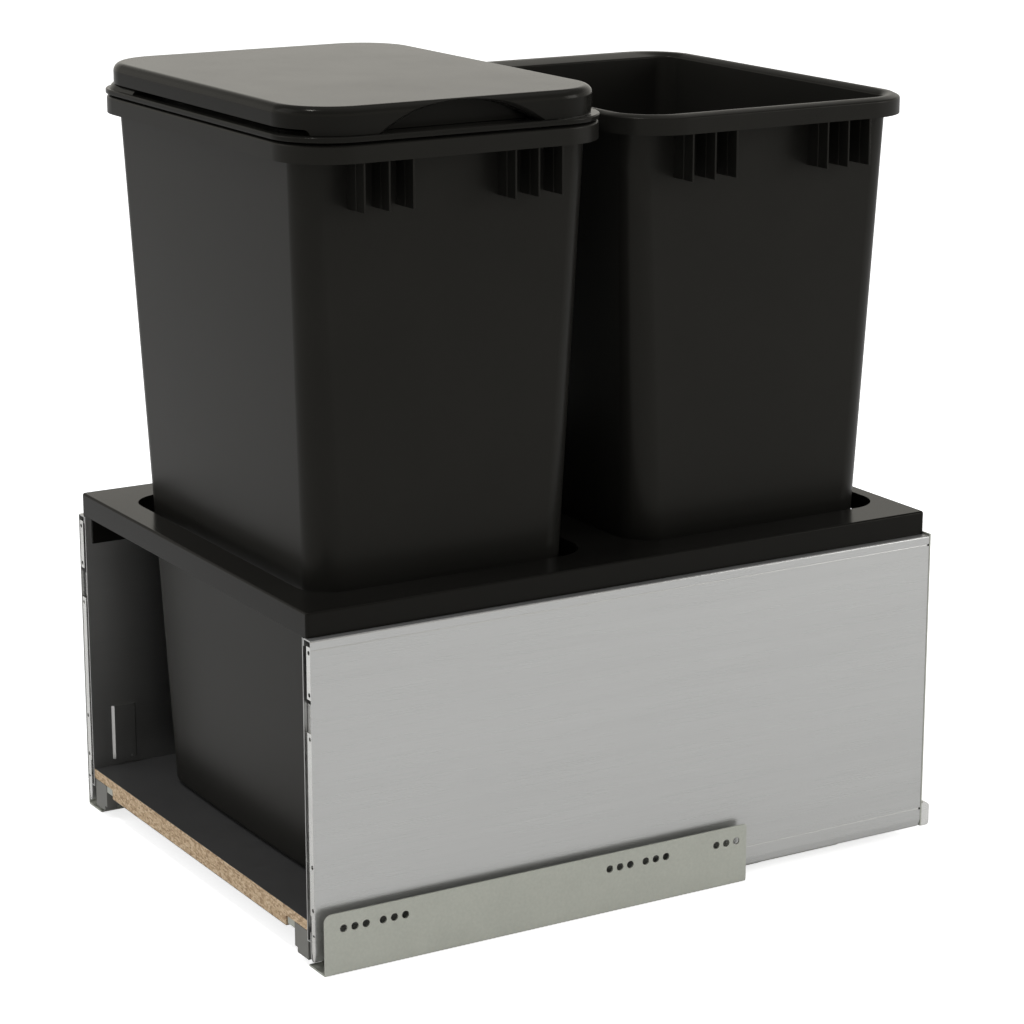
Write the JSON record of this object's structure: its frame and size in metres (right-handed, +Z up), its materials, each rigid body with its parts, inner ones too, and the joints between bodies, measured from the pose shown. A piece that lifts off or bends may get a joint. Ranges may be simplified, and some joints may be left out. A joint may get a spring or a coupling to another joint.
{
  "type": "pull out trash cabinet",
  "caption": "Pull-out waste drawer for a kitchen base cabinet: steel-sided drawer on full-extension runners with tapered bins in a moulded tray, the front one under a hinged lid.",
  "frame": {"origin": "middle of the footprint, at the underside of the runner profiles, which stand on the cabinet's floor", "axes": "-Y is the front, the way the drawer opens; +X is the user's right hand facing the open front; +Z is up"},
  "size_m": [0.418, 0.549, 0.612],
  "materials": {
    "galvanised": "zinc-coated steel sheet, satin",
    "side_steel": "steel with a clear fingerprint-resistant coat, fine lengthwise brushing",
    "inner_steel": "steel with a clear coat, satin",
    "zinc": "bright zinc plate",
    "screw_steel": "bright zinc plate",
    "grey_plastic": "moulded, matt",
    "cage_plastic": "moulded, matt",
    "board": "chipboard faced with dark grey laminate, raw edges",
    "tray_plastic": "moulded, satin black",
    "bin_plastic": "moulded, fine-grained black",
    "lid_plastic": "moulded, fine-grained black"
  },
  "bodies": {
    "cabinet_mount": {"cabinet_profile_right": "galvanised", "cabinet_profile_left": "galvanised", "cabinet_rail_right": "galvanised", "cabinet_rail_left": "galvanised", "soft_close_housing_right": "grey_plastic", "soft_close_housing_left": "grey_plastic"},
    "soft_close_catches": {"soft_close_catch_right": "cage_plastic", "soft_close_catch_left": "cage_plastic"},
    "middle_members": {"intermediate_member_right": "galvanised", "intermediate_member_left": "galvanised"},
    "lower_cages": {"lower_roller_cage_right": "cage_plastic", "lower_roller_cage_left": "cage_plastic"},
    "upper_cages": {"upper_roller_cage_right": "cage_plastic", "upper_roller_cage_left": "cage_plastic"},
    "drawer": {"drawer_member_right": "galvanised", "drawer_member_left": "galvanised", "member_front_cap_right": "grey_plastic", "member_front_cap_left": "grey_plastic", "soft_close_tab_right": "zinc", "soft_close_tab_left": "zinc", "side_outer_skin_right": "side_steel", "side_outer_skin_left": "side_steel", "side_inner_skin_right": "inner_steel", "side_inner_skin_left": "inner_steel", "front_fixing_block_right": "zinc", "front_fixing_block_left": "zinc", "front_bracket_upper_right": "zinc", "front_bracket_upper_left": "zinc", "front_bracket_lower_right": "zinc", "front_bracket_lower_left": "zinc", "adjuster_cap_right": "grey_plastic", "adjuster_cap_left": "grey_plastic", "rear_bracket_right": "galvanised", "rear_bracket_left": "galvanised", "rear_hook_right": "zinc", "rear_hook_left": "zinc", "back_screw_lower_right": "screw_steel", "back_screw_lower_left": "screw_steel", "back_screw_upper_right": "screw_steel", "back_screw_upper_left": "screw_steel", "bottom_board": "board", "back_panel": "board", "bin_tray": "tray_plastic"},
    "front_bin": {"bin_front": "bin_plastic", "lid_ring": "lid_plastic", "lid_hinge_pin_front": "screw_steel", "lid_hinge_pin_rear": "screw_steel"},
    "lid": {"lid_flap": "lid_plastic"},
    "rear_bin": {"bin_rear": "bin_plastic"}
  },
  "joints": [
    {"name": "drawer_slide", "type": "slide", "parent": "cabinet_mount", "child": "drawer", "axis": [0, -1, 0], "range_m": [0, 0.5]},
    {"name": "middle_slide", "type": "slide", "parent": "cabinet_mount", "child": "middle_members", "axis": [0, -1, 0], "range_m": [0, 0.25]},
    {"name": "lower_cage_slide", "type": "slide", "parent": "cabinet_mount", "child": "lower_cages", "axis": [0, -1, 0], "range_m": [0, 0.125]},
    {"name": "upper_cage_slide", "type": "slide", "parent": "cabinet_mount", "child": "upper_cages", "axis": [0, -1, 0], "range_m": [0, 0.375]},
    {"name": "soft_close_slide", "type": "slide", "parent": "cabinet_mount", "child": "soft_close_catches", "axis": [0, -1, 0], "range_m": [0, 0.045]},
    {"name": "front_bin_lift", "type": "slide", "parent": "drawer", "child": "front_bin", "axis": [0, 0, 1], "range_m": [0, 0.26]},
    {"name": "rear_bin_lift", "type": "slide", "parent": "drawer", "child": "rear_bin", "axis": [0, 0, 1], "range_m": [0, 0.26]},
    {"name": "lid_hinge", "type": "hinge", "parent": "front_bin", "child": "lid", "pos_m": [-0.1645, -0.13515, 0.601], "axis": [0, -1, 0], "range_deg": [0, 95]}
  ],
  "couplings": [
    {"joint": "middle_slide", "follows": "drawer_slide", "ratio": 0.5},
    {"joint": "lower_cage_slide", "follows": "drawer_slide", "ratio": 0.25},
    {"joint": "upper_cage_slide", "follows": "drawer_slide", "ratio": 0.75}
  ]
}
